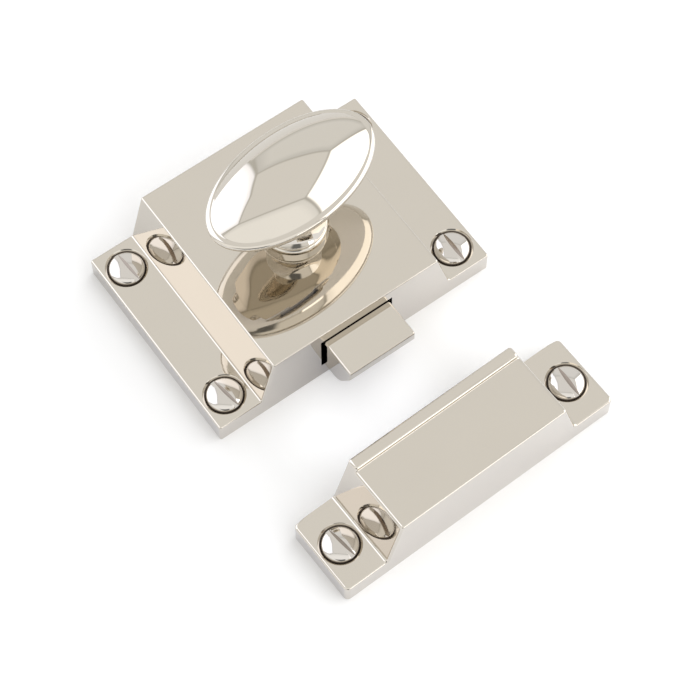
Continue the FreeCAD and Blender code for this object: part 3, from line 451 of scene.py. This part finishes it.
def neck_rings():
    """The rings round the foot, with both its edges rounded, and up the waisted neck."""
    rings = []
    for middle, start in ((FOOT_LOW + FOOT_ROUND, -90), (FOOT_HIGH - FOOT_ROUND, 0)):
        for part in range(FOOT_STEPS + 1):
            angle = math.radians(start + 90 * part / FOOT_STEPS)
            radius = FOOT_RADIUS - FOOT_ROUND + FOOT_ROUND * math.cos(angle)
            rings.append(oval(radius, radius, middle + FOOT_ROUND * math.sin(angle)))
    for part in range(1, NECK_STEPS + 1):
        share = part / NECK_STEPS
        straight = (FOOT_RADIUS - FOOT_ROUND) * (1 - share) + NECK_RADIUS * share
        radius = straight - 4 * WAIST * share * (1 - share)
        rings.append(oval(radius, radius, FOOT_HIGH + (NECK_TOP - FOOT_HIGH) * share))
    return rings


def underside_rings():
    """The rings that flare out from the neck and round the rim's lower edge."""
    rings = []
    for part in range(1, FLARE_STEPS + 1):
        share = part / FLARE_STEPS
        spread = through(FLARE, 1 - share)
        rings.append(oval(NECK_RADIUS + spread * (RIM_LONG - UNDER_ROUND - NECK_RADIUS),
                          NECK_RADIUS + spread * (RIM_WIDE - UNDER_ROUND - NECK_RADIUS),
                          NECK_TOP + (RIM_UNDER - NECK_TOP) * share))
    for part in range(1, UNDER_STEPS):
        angle = math.radians(-90 + 90 * part / UNDER_STEPS)
        back = UNDER_ROUND * (1 - math.cos(angle))
        rings.append(oval(RIM_LONG - back, RIM_WIDE - back, RIM_UNDER + UNDER_ROUND * (1 + math.sin(angle))))
    return rings


def top_rings():
    """The rings over the rolled bead at the rim and up to the middle of the dome."""
    rings = []
    dome_long, dome_wide = RIM_LONG - BEAD_WIDTH, RIM_WIDE - BEAD_WIDTH
    least = math.cos(math.radians(BEAD_FROM)) ** BEAD_POWER
    for part in range(BEAD_STEPS):
        angle = math.radians(BEAD_FROM * part / BEAD_STEPS)
        out = (math.cos(angle) ** BEAD_POWER - least) / (1 - least)
        rings.append(oval(dome_long + BEAD_WIDTH * out, dome_wide + BEAD_WIDTH * out,
                          RIM_MIDDLE + BEAD_HALF * math.sin(angle)))
    crown = KNOB_TOP - RIM_MIDDLE - BEAD_HALF * math.sin(math.radians(BEAD_FROM))
    radius = (dome_wide ** 2 + crown ** 2) / (2 * crown)
    widest = math.asin(dome_wide / radius)
    for part in range(DOME_STEPS + 1):
        angle = widest * (1 - part / (DOME_STEPS + 0.5))
        wide = radius * math.sin(angle)
        rings.append(oval(wide * dome_long / dome_wide, wide, KNOB_TOP - radius * (1 - math.cos(angle))))
    return rings


knob = skinned("knob_casting", spindle_rings() + neck_rings() + underside_rings() + top_rings())
knob.data.materials.append(polished("nickel_knob", CASTING_NICKEL, 0.03, 7.0, 0.002))
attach(knob, "knob")
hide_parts("knob")


# The bolt is cast brass with a bevelled nose, filed smooth and nickel plated. It slides between the case and
# the back plate, and the cam draws it in by a lug.
dress("bolt", polished("nickel_bolt", CASTING_NICKEL, 0.05, 6.0, 0.003))


# The keep is the same kind of casting as the case, open towards the latch and held by two screws. A low lip
# runs along its open side and ends flush with the sloping ends. It lies a little askew, as in the photograph.
KEEP_PLACE = Vector((0.1, -46.2, 0))
KEEP_ANGLE = 1.6
KEEP_HALF_LENGTH, KEEP_HALF_WIDTH = 27.5, 7.1
KEEP_FLANGE, KEEP_TOP, KEEP_CREST = 4.2, 14.2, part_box("keep")[1].z / MM
KEEP_FOOT_X, KEEP_TOP_X = 19.3, 16.6
LIP_START, LIP_RISE = 4.85, 0.25
KEEP_CORNER, KEEP_EDGE, KEEP_FOOT, LIP_ROOT = 0.85, 0.48, 0.55, 0.16
POCKET_HALF, POCKET_BACK, POCKET_TOP, POCKET_CORNER = 14.0, -4.9, 12.0, 2.0
POCKET_FROM, POCKET_OUT = -2, 20
KEEP_SCREW_X, SHANK_HOLE = 23.4, 1.9
SINK_STEPS, SINK_CORE, SINK_OVER = 96, 0.01, 1
CAST_SHARP, CREASE, FLAT = 35, 20, 1
NEAR, UPRIGHT = 0.01, 1


def extruded(mesh, sections):
    """Skins matching sections of points and closes the first and the last."""
    made = [[mesh.verts.new(point) for point in section] for section in sections]
    for near, far in zip(made, made[1:]):
        for index in range(len(near)):
            after = (index + 1) % len(near)
            mesh.faces.new((near[index], near[after], far[after], far[index]))
    mesh.faces.new(made[0])
    mesh.faces.new(list(reversed(made[-1])))
    bmesh.ops.recalc_face_normals(mesh, faces=mesh.faces)


def rounded(mesh, test, radius, segments=5, held=True):
    """Rounds the edges that pass a test. Held, the rounding shrinks where short edges leave it no room."""
    chosen = [edge for edge in mesh.edges if test(edge)]
    bmesh.ops.bevel(mesh, geom=chosen, offset=radius, offset_type="OFFSET", affect="EDGES",
                    segments=segments, profile=0.5, material=-1, clamp_overlap=held)


def cut_by(name, whole, cutters):
    """Takes the cutters away from a piece and drops them."""
    for cutter in cutters:
        step = whole.modifiers.new(cutter.name, "BOOLEAN")
        step.operation = "DIFFERENCE"
        step.solver = "EXACT"
        step.object = cutter
    bpy.context.view_layer.update()
    result = bpy.data.meshes.new_from_object(whole.evaluated_get(bpy.context.evaluated_depsgraph_get()))
    whole.modifiers.clear()
    whole.data = result
    result.name = name
    for cutter in cutters:
        bpy.data.objects.remove(cutter)


def flat_shaded(thing, sharp_angle):
    """Keeps the flats flat beside their rounded edges."""
    mesh = bmesh.new()
    mesh.from_mesh(thing.data)
    shaded(mesh, sharp_angle)
    mesh.to_mesh(thing.data)
    mesh.free()
    weighted = thing.modifiers.new("flats", "WEIGHTED_NORMAL")
    weighted.keep_sharp = True
    weighted.mode = "FACE_AREA"
    weighted.weight = 100


def keep_section(y, top, top_x):
    """The outline of the keep at one place across it: the flanges, the sloping ends and the top."""
    half = [(KEEP_HALF_LENGTH, 0), (KEEP_HALF_LENGTH, KEEP_FLANGE), (KEEP_FOOT_X, KEEP_FLANGE), (top_x, top)]
    return [Vector((x, y, z)) for x, z in half + [(-x, z) for x, z in reversed(half)]]


def ends(edge):
    """The places of an edge's two ends."""
    return edge.verts[0].co, edge.verts[1].co


def creased(edge, hollow):
    """Whether a hollow or a standing edge is sharp enough to be rounded."""
    return edge.calc_face_angle(0) > math.radians(CREASE) and edge.is_convex != hollow


def keep_blank():
    """The solid keep, with its corners, creases and edges rounded."""
    crest_x = KEEP_TOP_X - (KEEP_FOOT_X - KEEP_TOP_X) * (KEEP_CREST - KEEP_TOP) / (KEEP_TOP - KEEP_FLANGE)
    halfway = (KEEP_FLANGE + KEEP_TOP) / 2
    mesh = bmesh.new()
    extruded(mesh, [keep_section(-KEEP_HALF_WIDTH, KEEP_TOP, KEEP_TOP_X),
                    keep_section(LIP_START, KEEP_TOP, KEEP_TOP_X),
                    keep_section(LIP_START + LIP_RISE, KEEP_CREST, crest_x),
                    keep_section(KEEP_HALF_WIDTH, KEEP_CREST, crest_x)])
    bmesh.ops.dissolve_limit(mesh, angle_limit=math.radians(FLAT), verts=mesh.verts, edges=mesh.edges)

    def at_corner(edge):
        low, high = ends(edge)
        on_end = abs(low.x) > KEEP_HALF_LENGTH - NEAR and abs(low.x - high.x) < NEAR
        return on_end and abs(low.z - high.z) > UPRIGHT

    def on_outside(edge):
        low, high = ends(edge)
        on_back = max(low.z, high.z) < NEAR
        low_on_open_side = min(low.y, high.y) > KEEP_HALF_WIDTH - NEAR and max(low.z, high.z) < halfway
        return creased(edge, False) and not on_back and not low_on_open_side

    rounded(mesh, at_corner, KEEP_CORNER, segments=6)
    rounded(mesh, lambda edge: creased(edge, True) and ends(edge)[0].z > halfway, LIP_ROOT,
            segments=3)
    rounded(mesh, lambda edge: creased(edge, True) and ends(edge)[0].z < halfway, KEEP_FOOT)
    rounded(mesh, on_outside, KEEP_EDGE, held=False)
    return finished("keep_casting", mesh, CAST_SHARP)


def pocket_cutter():
    """The hollow that the bolt enters, with its two back corners rounded."""
    outline = ((-POCKET_HALF, POCKET_BACK), (POCKET_HALF, POCKET_BACK),
               (POCKET_HALF, POCKET_OUT), (-POCKET_HALF, POCKET_OUT))
    mesh = bmesh.new()
    extruded(mesh, [[Vector((x, y, z)) for x, y in outline] for z in (POCKET_FROM, POCKET_TOP)])

    def at_back_corner(edge):
        low, high = ends(edge)
        on_back = abs(low.y - POCKET_BACK) < NEAR and abs(high.y - POCKET_BACK) < NEAR
        return on_back and abs(low.z - high.z) > UPRIGHT

    rounded(mesh, at_back_corner, POCKET_CORNER, segments=8)
    return finished("pocket", mesh, CAST_SHARP)


def sink_cutter(name, x):
    """The tool that cuts a countersunk hole in a flange of the keep."""
    profile = [(SINK_CORE, -SINK_OVER), (SHANK_HOLE, -SINK_OVER),
               (SHANK_HOLE, KEEP_FLANGE - SINK_RADIUS + SHANK_HOLE), (SINK_RADIUS, KEEP_FLANGE),
               (SINK_RADIUS + SINK_OVER, KEEP_FLANGE + SINK_OVER), (SINK_CORE, KEEP_FLANGE + SINK_OVER)]
    angles = [math.tau * index / SINK_STEPS for index in range(SINK_STEPS)]
    rings = [[Vector((x + radius * math.cos(angle), radius * math.sin(angle), z)) for angle in angles]
             for radius, z in profile]
    return skinned(name, rings)


keep = keep_blank()
cut_by("keep_casting", keep, [pocket_cutter(), sink_cutter("left_hole", -KEEP_SCREW_X),
                              sink_cutter("right_hole", KEEP_SCREW_X)])
keep.data.transform(Matrix.Translation(KEEP_PLACE * MM) @ Matrix.Rotation(math.radians(KEEP_ANGLE), 4, "Z"))
flat_shaded(keep, CAST_SHARP)
keep.data.materials.clear()
keep_nickel = polished("nickel_keep", CASTING_NICKEL, 0.04, 8.0, 0.004)
# The keep's countersinks are painted dark too, as painted shade round the screw heads.
keep.data.materials.append(shaded_countersinks(keep_nickel, KEEP_PLACE, KEEP_ANGLE, KEEP_SCREW_X, 0))
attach(keep, "case")
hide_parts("keep")


# The fixing screws are turned brass wood screws, nickel plated, with raised heads. Their slots are sawn
# across, with the wall of each slot turned from the light painted dark as painted shade, and their threads
# rolled down to a point. Each stands as the screwdriver left it.
SCREW_NICKEL = (0.67, 0.63, 0.575, 1)
SLOT_SHADE_NICKEL = (0.3, 0.25, 0.2, 1)
HEAD_RADIUS, HEAD_SEAT, HEAD_RIM, RIM_RISE = 3.13, 3.72, 0.05, 0.03
HEAD_ROUND, ROUND_FROM, ROUND_TO = 1.0, 26, 80
SLOT_LOSS = 0.03
HEAD_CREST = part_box("latch_screws")[1].z / MM + SLOT_LOSS
SHANK_RADIUS, SHANK_END = 1.75, -1.2
THREAD_ROOT, THREAD_PITCH, THREAD_END = 1.15, 1.41, -10.2
THREAD_FLANK, THREAD_RUNOUT, POINT_SHARE, POINT_STUB = 3.2, 0.2, 0.35, 0.05
SCREW_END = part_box("latch_screws")[0].z / MM
SLOT_WIDTH, SLOT_FLOOR, SLOT_EDGE = 0.85, 4.05, 0.05
SAW_SET, SAW_TOP, SAW_HALF_LENGTH = 0.05, 9, 5
SLOT_CREASE, WALL_FACING = 40, 0.9
SCREW_STEPS, PITCH_STEPS, HEAD_STEPS, CROWN_STEPS = 96, 12, 8, 18

# Each slot's turn in degrees, by the side and end of the plate that its screw is at.
CASE_SLOTS = {(-1, 1): 4.3, (-1, -1): 8.7, (1, -1): 0.0, (1, 1): 15.0}
KEEP_SLOTS = {-1: 7.0, 1: -3.4}


def about_screw(radii, height):
    """A ring about a screw's own axis, from its radius at each step of the turn."""
    ring = []
    for index, radius in enumerate(radii):
        angle = math.tau * index / SCREW_STEPS
        ring.append(Vector((radius * math.cos(angle), radius * math.sin(angle), height)))
    return ring


def thread_rings():
    """The rings from a screw's point up its thread, which runs out into the shank."""
    rings = []
    height = SCREW_END + POINT_STUB
    while height < SHANK_END:
        taper = min(1, (height - SCREW_END) / (THREAD_END - SCREW_END))
        runout = min(1, (SHANK_END - height) / THREAD_PITCH + THREAD_RUNOUT)
        radii = []
        for index in range(SCREW_STEPS):
            phase = (height / THREAD_PITCH - index / SCREW_STEPS) % 1
            crest = max(0, 1 - abs(phase - 0.5) * THREAD_FLANK) * runout
            radii.append(taper * THREAD_ROOT + crest * (SHANK_RADIUS - THREAD_ROOT) * max(taper, POINT_SHARE))
        rings.append(about_screw(radii, height))
        height += THREAD_PITCH / PITCH_STEPS
    return rings


def head_outline():
    """A screw's outline as (radius, height), up the plain shank and over the raised head to its middle."""
    inner = HEAD_RADIUS - HEAD_ROUND
    start = math.radians(ROUND_FROM)
    dome = (inner + HEAD_ROUND * math.sin(start)) / math.sin(start)
    round_middle = HEAD_CREST - dome * (1 - math.cos(start)) - HEAD_ROUND * math.cos(start)
    outline = [(SHANK_RADIUS, SHANK_END), (SHANK_RADIUS, HEAD_SEAT - HEAD_RADIUS + SHANK_RADIUS),
               (HEAD_RADIUS - HEAD_RIM, HEAD_SEAT - HEAD_RIM), (HEAD_RADIUS, HEAD_SEAT + RIM_RISE)]
    for part in range(HEAD_STEPS + 1):
        angle = math.radians(ROUND_TO + (ROUND_FROM - ROUND_TO) * part / HEAD_STEPS)
        outline.append((inner + HEAD_ROUND * math.sin(angle), round_middle + HEAD_ROUND * math.cos(angle)))
    for part in range(1, CROWN_STEPS + 1):
        angle = start * (1 - part / (CROWN_STEPS + 0.5))
        outline.append((dome * math.sin(angle), HEAD_CREST - dome * (1 - math.cos(angle))))
    return outline


def wood_screw(name, place, slot_turn):
    """One screw in its place, with its slot sawn and the slot's edges just broken."""
    head = [about_screw([radius] * SCREW_STEPS, height) for radius, height in head_outline()]
    screw = skinned(name, thread_rings() + head)
    half = SLOT_WIDTH / 2
    outline = ((-half, SLOT_FLOOR), (half, SLOT_FLOOR), (half + SAW_SET, SAW_TOP), (-half - SAW_SET, SAW_TOP))
    saw = bmesh.new()
    extruded(saw, [[Vector((x, y, z)) for x, z in outline] for y in (-SAW_HALF_LENGTH, SAW_HALF_LENGTH)])
    cut_by(name, screw, [finished("saw", saw, CAST_SHARP)])

    def on_slot(edge):
        above_floor = min(end.z for end in ends(edge)) > (SLOT_FLOOR + SLOT_EDGE) * MM
        return edge.calc_face_angle(0) > math.radians(SLOT_CREASE) and above_floor

    sawn = bmesh.new()
    sawn.from_mesh(screw.data)
    rounded(sawn, on_slot, SLOT_EDGE * MM, segments=2)
    # The slot wall that faces -X gets the dark material, as painted shade on the side turned from the light.
    for face in sawn.faces:
        middle = face.calc_center_median()
        if abs(middle.x) < (half + SLOT_EDGE + NEAR) * MM and middle.z > (SLOT_FLOOR - NEAR) * MM:
            face.material_index = int(face.normal.x < -WALL_FACING)
    sawn.to_mesh(screw.data)
    sawn.free()
    turned = Matrix.Rotation(math.radians(slot_turn), 4, "Z")
    screw.data.transform(Matrix.Translation(Vector(place) * MM) @ turned)
    return screw


def joined(name, pieces):
    """One object from several, each with its mesh already in place."""
    whole = bmesh.new()
    for piece in pieces:
        whole.from_mesh(piece.data)
        bpy.data.objects.remove(piece)
    made = bpy.data.objects.new(name, bpy.data.meshes.new(name))
    whole.to_mesh(made.data)
    whole.free()
    bpy.context.collection.objects.link(made)
    flat_shaded(made, TURNED_SHARP)
    return made


screw_nickel = polished("nickel_screws", SCREW_NICKEL, 0.045, 2.5, 0.003)
# A dark nickel for one wall of each slot, as painted shade.
slot_wall_shade = polished("slot_wall_shade", SLOT_SHADE_NICKEL, 0.15, 1.0, 0.002)
askew = Matrix.Rotation(math.radians(KEEP_ANGLE), 3, "Z")
case_places = [((side * CASE_SCREW_X, end * CASE_SCREW_Y, 0), turn)
               for (side, end), turn in CASE_SLOTS.items()]
keep_places = [(KEEP_PLACE + askew @ Vector((side * KEEP_SCREW_X, 0, 0)), KEEP_ANGLE + turn)
               for side, turn in KEEP_SLOTS.items()]
for name, places, replaced in (("latch_screw_set", case_places, "latch_screws"),
                               ("keep_screw_set", keep_places, "keep_screws")):
    screws = joined(name, [wood_screw(f"{replaced}_{number}", place, turn)
                           for number, (place, turn) in enumerate(places)])
    screws.data.materials.append(screw_nickel)
    screws.data.materials.append(slot_wall_shade)
    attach(screws, "case")
    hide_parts(replaced)


# The inner pieces are left unplated: a cast brass cam, a rolled brass plate that closes the case's back
# with four small screws, and bright turned steel washers and a screw that keep the cam in its place.
BRASS = (0.62, 0.40, 0.14, 1)
BRIGHT_STEEL = (0.45, 0.45, 0.46, 1)
dress("cam", polished("brass_cam", BRASS, 0.28, 3.0, 0.006))
dress("back_plate", polished("brass_plate", BRASS, 0.3, 6.0, 0.004))
dress("back_plate_screws", polished("brass_screws", BRASS, 0.24, 2.0, 0.002))
steel = polished("steel_small", BRIGHT_STEEL, 0.25, 2.0, 0.002)
for name in ("thrust_washer", "cam_washer", "cam_screw"):
    dress(name, steel)


# The spring is wound from drawn steel wire, with its end turns closed. It sits on the pegs of the bolt and
# the case and is pressed towards the rear wall as the bolt comes in.
SPRING_FRONT, SPRING_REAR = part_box("bolt_spring")[0].y / MM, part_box("bolt_spring")[1].y / MM
SPRING_HEIGHT = (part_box("bolt_spring")[0].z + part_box("bolt_spring")[1].z) / 2 / MM
COIL_RADIUS, WIRE_RADIUS = 2.4, 0.3
OPEN_TURNS, CLOSED_TURNS, CLOSED_PITCH = 5.5, 1.0, 0.98
COIL_STEPS, WIRE_STEPS = 36, 10


def spring_wire():
    """The wire's rings along the coil, with a closed turn at each end."""
    turns = OPEN_TURNS + 2 * CLOSED_TURNS
    front, rear = SPRING_FRONT + WIRE_RADIUS, SPRING_REAR - WIRE_RADIUS
    closed = 2 * WIRE_RADIUS * CLOSED_PITCH
    stages = [(0, front), (CLOSED_TURNS, front + closed),
              (turns - CLOSED_TURNS, rear - closed), (turns, rear)]
    across = Vector((0, 1, 0))
    angles = [math.tau * index / WIRE_STEPS for index in range(WIRE_STEPS)]
    rings = []
    steps = int(turns * COIL_STEPS)
    for step in range(steps + 1):
        turn = turns * step / steps
        for (low, at_low), (high, at_high) in zip(stages, stages[1:]):
            if turn <= high:
                break
        along = at_low + (at_high - at_low) * (turn - low) / (high - low)
        out = Vector((math.cos(math.tau * turn), 0, math.sin(math.tau * turn)))
        centre = Vector((0, along, SPRING_HEIGHT)) + out * COIL_RADIUS
        rings.append([centre + (out * math.cos(angle) + across * math.sin(angle)) * WIRE_RADIUS
                      for angle in angles])
    return rings


spring = skinned("spring_wire", spring_wire())
spring.data.materials.append(polished("spring_steel", BRIGHT_STEEL, 0.3, 1.0, 0.001))
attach(spring, "case")
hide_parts("bolt_spring")
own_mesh(spring)
